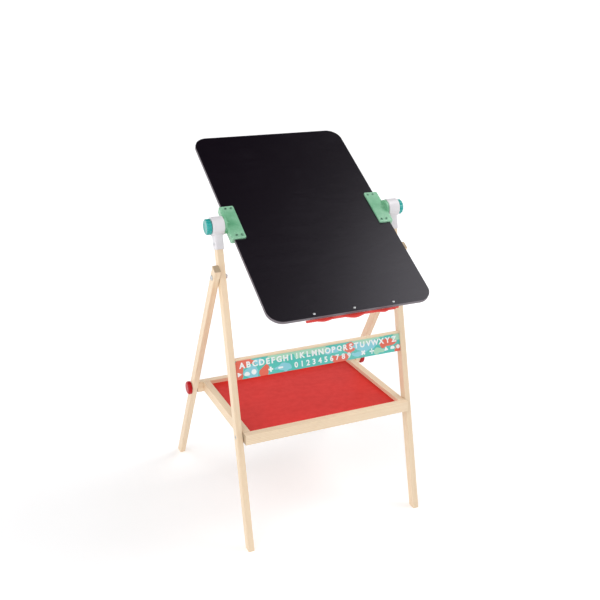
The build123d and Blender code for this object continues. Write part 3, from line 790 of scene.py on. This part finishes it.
def teal_knob(name, side, material):
    """Knob with a soft scalloped grip, a dished outer face and a bore for its nut."""
    low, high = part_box(f"teal_knob_{name}")
    thick = high.x - low.x
    radius = (high.z - low.z) / 2
    inner = low.x if side > 0 else high.x
    profile = [(0, 9.3 * MM), (4.03 * MM, 9.3 * MM), (4.03 * MM, 7.1 * MM)]
    profile += [(6.05 * MM, 7.05 * MM), (6.05 * MM, 0)]
    profile += [(9.0 * MM, 0), (radius - 2.6 * MM, 0)]
    profile += arc((radius - 2.4 * MM, 2.4 * MM), 2.4 * MM, -80, 0, 6)
    profile += [(radius, thick / 2)]
    profile += arc((radius - 3.2 * MM, thick - 3.4 * MM), 3.2 * MM, 0, 84, 8)
    profile += [(radius - 5.0 * MM, thick - 0.1 * MM), (radius - 6.2 * MM, thick - 0.6 * MM)]
    profile += [(radius * 0.35, thick - 1.1 * MM), (0, thick - 1.15 * MM)]

    def scallop(r, height, angle):
        """Flutes round the rim that fade out on the faces."""
        share = max(0.0, (r - radius * 0.78) / (radius * 0.22))
        wave = abs(math.cos(angle * TEAL_RIBS / 2)) ** 1.6
        return r - 1.7 * MM * share * wave

    made = placed(turned(profile, TEAL_RIBS * 12, scallop), Vector((inner, PIVOT.y, PIVOT.z)), X * side)
    piece = add_object(f"grip_knob_{name}", joined([made], f"grip_knob_{name}"), material, 50)
    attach(piece, f"teal_knob_{name}")
    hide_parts(f"teal_knob_{name}")


# ---------------------------------------------------------------- stage
FLOOR_REACH = 40.0
CAMERA_PLACE = (-0.808, -1.8343, 1.242)
CAMERA_DOWN = math.radians(19.61)
CAMERA_YAW = math.radians(-23.86)
CAMERA_LENS = 50.58
# place, width and height (m) and power (W) of the two lamps, both aimed at LAMP_TARGET
LAMP_TARGET = (0, 0, 0.5)
LAMPS = {
    "key": ((-2.2, -1.6, 2.6), (2.0, 2.0), 21),
    "fill": ((2.1, -0.5, 2.9), (1.8, 1.8), 32),
}


def make_camera():
    data = bpy.data.cameras.new("camera")
    camera = bpy.data.objects.new("camera", data)
    bpy.context.scene.collection.objects.link(camera)
    camera.location = CAMERA_PLACE
    camera.rotation_euler = (math.radians(90) - CAMERA_DOWN, 0, CAMERA_YAW)
    data.sensor_width = 36.0
    data.lens = CAMERA_LENS
    data.clip_end = 100
    bpy.context.scene.camera = camera


def area_light(name, place, size, power):
    data = bpy.data.lights.new(name, "AREA")
    data.shape = "RECTANGLE"
    data.size, data.size_y = size
    data.energy = power
    lamp = bpy.data.objects.new(name, data)
    bpy.context.scene.collection.objects.link(lamp)
    lamp.location = place
    lamp.rotation_euler = (Vector(LAMP_TARGET) - Vector(place)).to_track_quat("-Z", "Y").to_euler()


def make_stage():
    mesh = bpy.data.meshes.new("floor")
    reach = FLOOR_REACH
    corners = [(-reach, -reach, 0), (reach, -reach, 0), (reach, reach, 0), (-reach, reach, 0)]
    mesh.from_pydata(corners, [], [(0, 1, 2, 3)])
    floor = add_object("floor", mesh, floor_paper())
    for name, (place, size, power) in LAMPS.items():
        area_light(name, place, size, power)
    bpy.context.scene.view_settings.view_transform = "Standard"


DARK_CLOTH = Vector((0.10, 0.48, 0.87)).normalized()
CLOTH_EDGE = math.cos(math.radians(42))
CLOTH_CORE = math.cos(math.radians(18))


def make_sky():
    """Soft white light all round, less from the front and right, and a dark cloth above the board."""
    world = bpy.data.worlds.new("studio")
    bpy.context.scene.world = world
    world.use_nodes = True
    tree = world.node_tree
    direction = tree.nodes.new("ShaderNodeTexCoord").outputs["Generated"]
    strength = None
    # direction, its cosine where the change starts and ends, and the strength at both
    for way, start, end, low, high in (
        (-X, -1.0, 1.0, 0.98, 1.34),
        (Y, -1.0, 1.0, 0.56, 1.05),
        (DARK_CLOTH, CLOTH_EDGE, CLOTH_CORE, 1.0, 0.0),
    ):
        dot = tree.nodes.new("ShaderNodeVectorMath")
        dot.operation = "DOT_PRODUCT"
        tree.links.new(direction, dot.inputs[0])
        dot.inputs[1].default_value = way
        fade = tree.nodes.new("ShaderNodeMapRange")
        fade.interpolation_type = "SMOOTHSTEP"
        tree.links.new(dot.outputs["Value"], fade.inputs["Value"])
        for name, number in (("From Min", start), ("From Max", end), ("To Min", low), ("To Max", high)):
            fade.inputs[name].default_value = number
        if strength is None:
            strength = fade.outputs["Result"]
            continue
        product = tree.nodes.new("ShaderNodeMath")
        product.operation = "MULTIPLY"
        tree.links.new(strength, product.inputs[0])
        tree.links.new(fade.outputs["Result"], product.inputs[1])
        strength = product.outputs[0]
    background = next(n for n in tree.nodes if n.type == "BACKGROUND")
    background.inputs["Color"].default_value = (1.0, 1.0, 1.0, 1.0)
    tree.links.new(strength, background.inputs["Strength"])


# ---------------------------------------------------------------- build
PINE_SEED = 11
# each pine node and the way its grain runs
PINE_NODES = (
    ("front_leg_left", UP_LEG),
    ("front_leg_right", UP_LEG),
    ("rear_leg_left", UP_REAR),
    ("rear_leg_right", UP_REAR),
    ("cross_bar", X),
    ("tray_rail_front", X),
    ("tray_rail_rear", X),
    ("tray_rail_left", Y),
    ("tray_rail_right", Y),
    ("cross_bar_dowels", X),
    ("tray_dowels", Y),
)
STEEL_NODES = (
    "hinge_nuts",
    "hinge_washers",
    "tray_washers",
    "clamp_nuts",
    "pivot_bolt_left",
    "pivot_bolt_right",
)
# head radius, head thickness, shank radius, length and where the thread starts
CLAMP_SCREW = (3.0 * MM, 1.6 * MM, 1.6 * MM, 18.4 * MM, 12.0 * MM)
LEDGE_SCREW = (3.0 * MM, 1.6 * MM, 1.6 * MM, 20.0 * MM, 8.0 * MM)
SLEEVE_SCREW = (3.0 * MM, 1.6 * MM, 1.5 * MM, 13.7 * MM, 2.0 * MM)
BOLT_SHANK_R = 3.0 * MM
HINGE_HEAD_R = 6.5 * MM
HINGE_HEAD_T = 3.2 * MM
HINGE_TIP_X = 213.5 * MM
HINGE_TURN = 0.3
TRAY_HEAD_R = 5.2 * MM
TRAY_HEAD_T = 3.3 * MM
TRAY_TIP_X = 207.5 * MM
TRAY_TURN = 0.5
STUD_INNER = 223.5 * MM


def board_spot(x, up, off):
    """A place on the board: across it, up it and out of its black face, from the pivot."""
    return PIVOT + X * x + UP_BOARD * up + OFF_BOARD * off


make_camera()
make_stage()
make_sky()

for number, (name, grain) in enumerate(PINE_NODES):
    paint_nodes(pine(f"pine_{name}", grain, middle(name), PINE_SEED + number), name)

steel = metal("zinc_plated_steel", (0.66, 0.67, 0.68))
green_zinc = metal("green_zinc_screws", (0.17, 0.33, 0.24))
brass = metal("turned_brass", (0.80, 0.60, 0.28))
paint_nodes(steel, *STEEL_NODES)
knob_inserts = [f"{kind}_knob_insert_{side}" for kind in ("red", "teal") for side in SIDES]
paint_nodes(brass, "tray_inserts", *knob_inserts)
tray_red = panel_paint("tray_red_paint", (0.70, 0.020, 0.014), (0.64, 0.014, 0.010), raw_below=True)
paint_nodes(tray_red, "tray_panel")
ledge_red = panel_paint("ledge_red_paint", (0.66, 0.045, 0.035), (0.58, 0.032, 0.026), 90.0)
paint_nodes(ledge_red, "marker_ledge")
red = moulded("knob_red_plastic", (0.44, 0.002, 0.006), (0.58, 0.008, 0.016), 0.30)
red.set(Specular_IOR_Level=0.25)
paint_nodes(red.material, "red_knob_left", "red_knob_right")
white = moulded("head_white_plastic", (0.71, 0.68, 0.71), (0.79, 0.77, 0.79), 0.30, 0.1)
paint_nodes(white.material, "post_head_left", "post_head_right")
nylon = moulded("washer_white_nylon", (0.78, 0.79, 0.78), (0.86, 0.87, 0.86), 0.45)
paint_nodes(nylon.material, "friction_washers")
paint_nodes(clamp_plastic(), "board_clamp_left", "board_clamp_right")
paint_nodes(board_edge(), "board_core")
paint_nodes(chalkboard(), "chalk_face")
paint_nodes(whiteboard(), "white_face")
paint_nodes(printed_strip(), "alphabet_strip")
letters(white_ink())

teal = moulded("knob_teal_plastic", (0.004, 0.31, 0.28), (0.012, 0.46, 0.44), 0.20, 0.35, 0.5)
for name, side in SIDES.items():
    teal_knob(name, side, teal.material)

spots = [
    board_spot(side * x, up, CLAMP_HALF_T)
    for side in SIDES.values()
    for x in CLAMP_SCREW_X
    for up in (-CLAMP_SCREW_UP, CLAMP_SCREW_UP)
]
screw_set("clamp_screw_heads", spots, [OFF_BOARD] * 8, CLAMP_SCREW, "board", "clamp_screws", green_zinc, 5)
spots = [board_spot(x, LEDGE_SCREW_UP, BOARD_T / 2) for x in (-LEDGE_SCREW_X, 0, LEDGE_SCREW_X)]
screw_set("ledge_screw_heads", spots, [OFF_BOARD] * 3, LEDGE_SCREW, "board", "ledge_screws", steel, 6)

outward = [X * side for side in SIDES.values()]
sleeve = middle("head_screws")
sleeve.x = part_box("head_screws")[1].x - SLEEVE_SCREW[1]
spots = [Vector((side * sleeve.x, sleeve.y, sleeve.z)) for side in SIDES.values()]
screw_set("sleeve_screw_heads", spots, outward, SLEEVE_SCREW, "front_frame", "head_screws", steel, 7)

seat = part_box("hinge_bolts")[1].x - HINGE_HEAD_T
parts = []
for side, way in zip(SIDES.values(), outward):
    bolt = button_bolt(HINGE_HEAD_R, HINGE_HEAD_T, BOLT_SHANK_R, seat - HINGE_TIP_X)
    parts.append(placed(bolt, Vector((side * seat, HINGE.y, HINGE.z)), way, HINGE_TURN))
steel_piece("hinge_button_bolts", parts, "front_frame", "hinge_bolts", steel)

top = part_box("tray_bolts")[1].x
parts = []
for side, way in zip(SIDES.values(), outward):
    bolt = sunk_bolt(TRAY_HEAD_R, TRAY_HEAD_T, BOLT_SHANK_R, top - TRAY_TIP_X)
    parts.append(placed(bolt, Vector((side * top, TRAY_PIVOT.y, TRAY_PIVOT.z)), way, TRAY_TURN))
steel_piece("tray_sunk_bolts", parts, "tray", "tray_bolts", steel)

stud_low, stud_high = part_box("tray_studs")
stud_r = (stud_high.z - stud_low.z) / 2
length = stud_high.x - STUD_INNER
profile = [(0, 0), (stud_r * 0.8, 0)]
profile += thread_profile(stud_r, 0.3 * MM, length - 0.3 * MM, 1.0 * MM, 0.25 * MM)
profile += [(stud_r * 0.8, length), (0, length)]
parts = []
for side, way in zip(SIDES.values(), outward):
    parts.append(placed(turned(profile, 32), Vector((side * STUD_INNER, STUD.y, STUD.z)), way))
steel_piece("tray_threaded_studs", parts, "tray", "tray_studs", steel)
